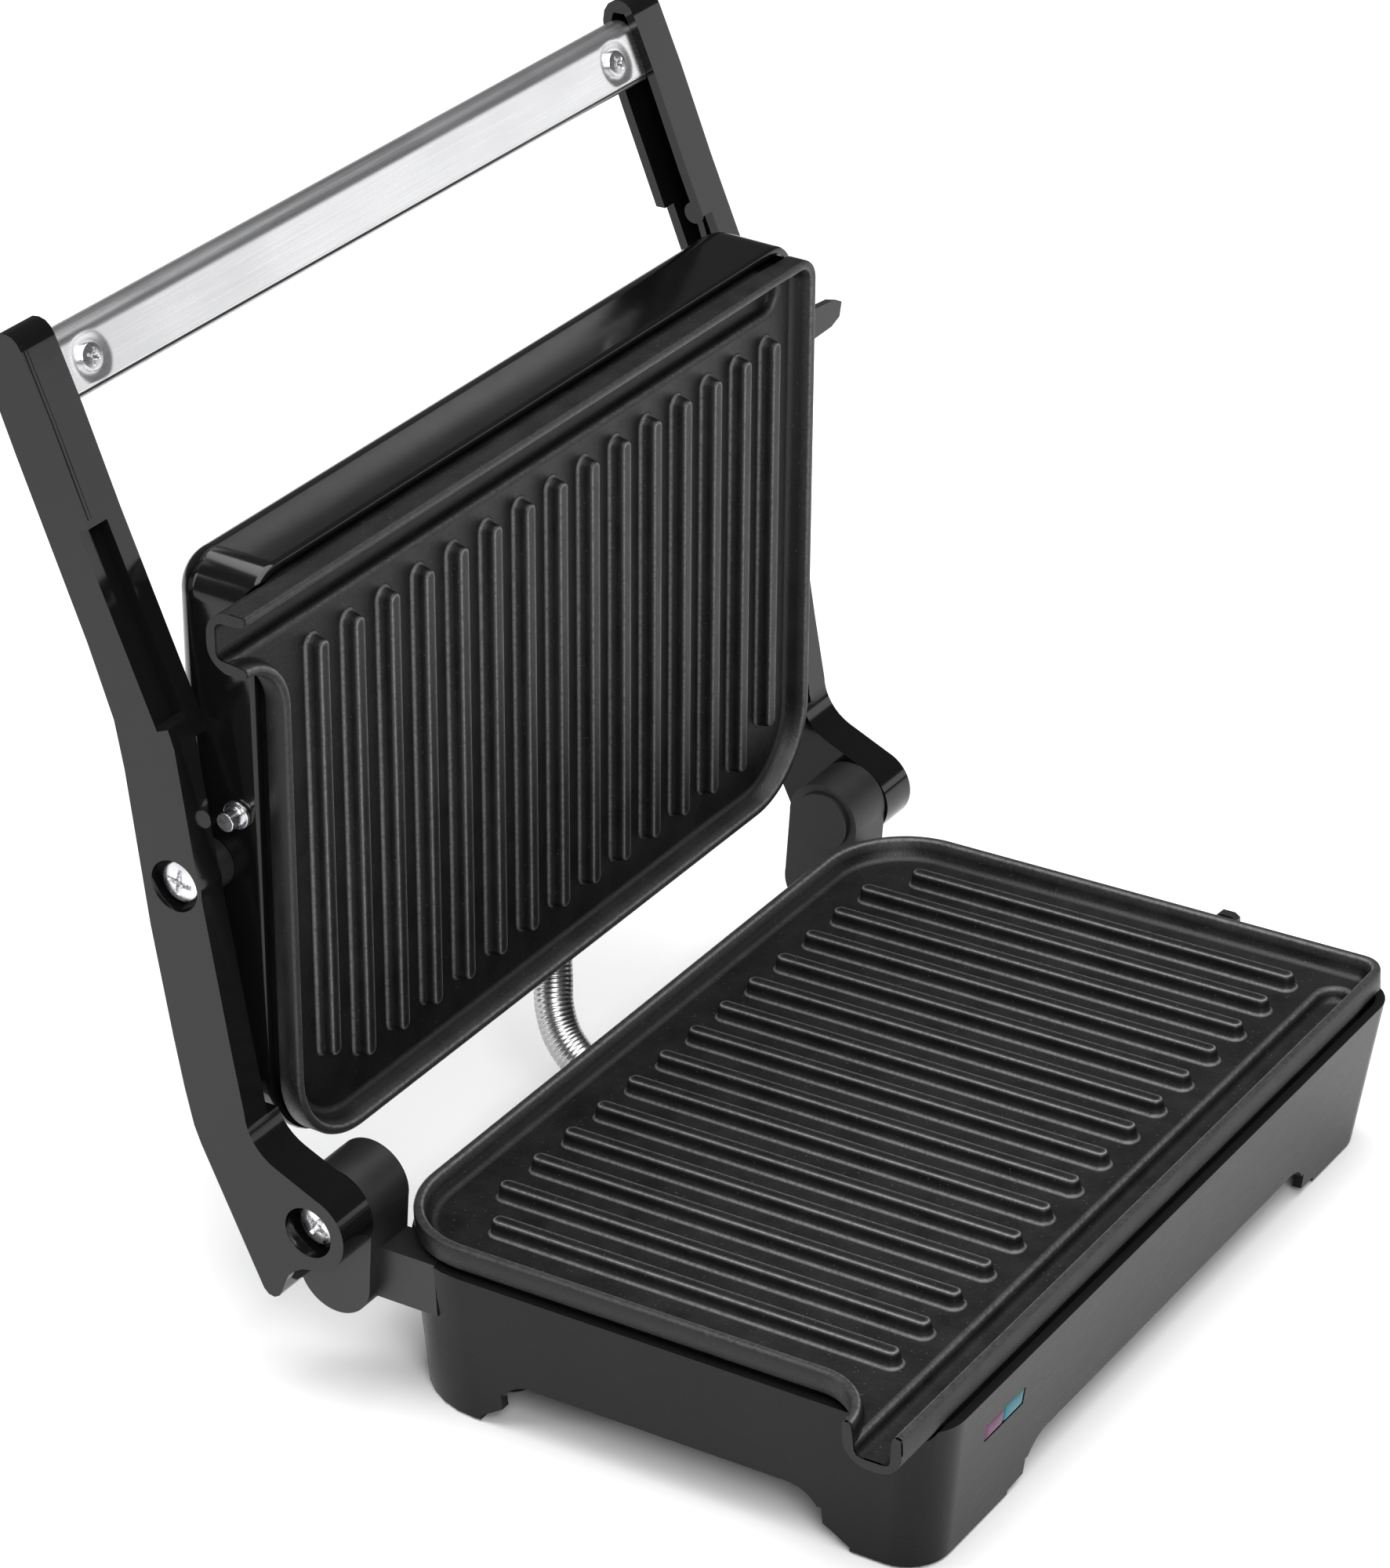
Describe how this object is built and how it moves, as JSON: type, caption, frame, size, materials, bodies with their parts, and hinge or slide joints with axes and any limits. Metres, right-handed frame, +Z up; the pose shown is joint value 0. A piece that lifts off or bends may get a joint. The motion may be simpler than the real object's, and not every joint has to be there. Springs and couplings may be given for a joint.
{
  "type": "panini press",
  "caption": "Electric panini press with ribbed plates, a floating upper plate on a hinged handle frame, a grease spout and a swing latch, lid open.",
  "frame": {"origin": "on the table plane, under the centre of the base's footprint", "axes": "+X to the press's right as its user sees it, +Y to the rear where the hinge is, +Z up; the lid is open on its rear stop"},
  "size_m": [0.2719, 0.2374, 0.2706],
  "materials": {
    "gloss_black": "polished injection-moulded black plastic",
    "base_shell": "semi-gloss dark grey-black plastic",
    "matt_plastic": "fine matt black plastic",
    "nonstick": "cast aluminium with a speckled matt black non-stick coating",
    "handle_steel": "fine brushed stainless steel",
    "conduit_steel": "wound stainless conduit",
    "screw_steel": "bright zinc-plated steel",
    "element_steel": "dull heat-darkened steel tube",
    "reflector": "mill-finish aluminium sheet",
    "brass": "turned brass",
    "rubber": "matt black rubber",
    "ceramic_part": "off-white heat-resistant moulding",
    "lens_purple": "tinted clear plastic, unlit",
    "lens_teal": "tinted clear plastic, unlit",
    "board": "printed circuit board"
  },
  "bodies": {
    "base": {"base_housing": "base_shell", "bottom_cover": "matt_plastic", "cover_screws": "screw_steel", "rubber_feet": "rubber", "lower_plate": "nonstick", "lower_plate_screws": "screw_steel", "lower_element": "element_steel", "lower_reflector": "reflector", "thermostat": "ceramic_part", "terminal_block": "ceramic_part", "power_lens": "lens_purple", "ready_lens": "lens_teal", "lamp_board": "board", "hinge_post_left": "matt_plastic", "hinge_post_right": "matt_plastic", "post_screws": "screw_steel", "hinge_bushes": "brass", "base_conduit_gland": "matt_plastic", "mains_inlet": "matt_plastic", "latch_catch": "matt_plastic", "wire_conduit": "conduit_steel"},
    "lid_frame": {"left_arm": "gloss_black", "right_arm": "gloss_black", "hinge_pins": "screw_steel", "pivot_pins": "screw_steel", "handle_sleeve": "handle_steel", "handle_core": "matt_plastic", "handle_screws": "screw_steel"},
    "upper_head": {"upper_housing": "gloss_black", "upper_plate": "nonstick", "upper_plate_screws": "screw_steel", "upper_element": "element_steel", "upper_reflector": "reflector", "thermal_fuse": "ceramic_part", "pivot_bushes": "matt_plastic", "stop_studs": "screw_steel", "head_conduit_gland": "matt_plastic"},
    "latch": {"latch_lever": "matt_plastic"}
  },
  "joints": [
    {"name": "lid_hinge", "type": "hinge", "parent": "base", "child": "lid_frame", "pos_m": [0, 0.0862, 0.0531], "axis": [1, 0, 0], "range_deg": [0, 97.3], "deforming": ["wire_conduit"]},
    {"name": "plate_float", "type": "hinge", "parent": "lid_frame", "child": "upper_head", "pos_m": [0, 0.1178, 0.1385], "axis": [1, 0, 0], "range_deg": [-10.2, 0]},
    {"name": "latch_swing", "type": "hinge", "parent": "upper_head", "child": "latch", "pos_m": [0.118, 0.10869, 0.17241], "axis": [1, 0, 0], "range_deg": [0, 75]}
  ],
  "couplings": [
    {"joint": "plate_float", "follows": "lid_hinge", "ratio": -0.10277}
  ]
}
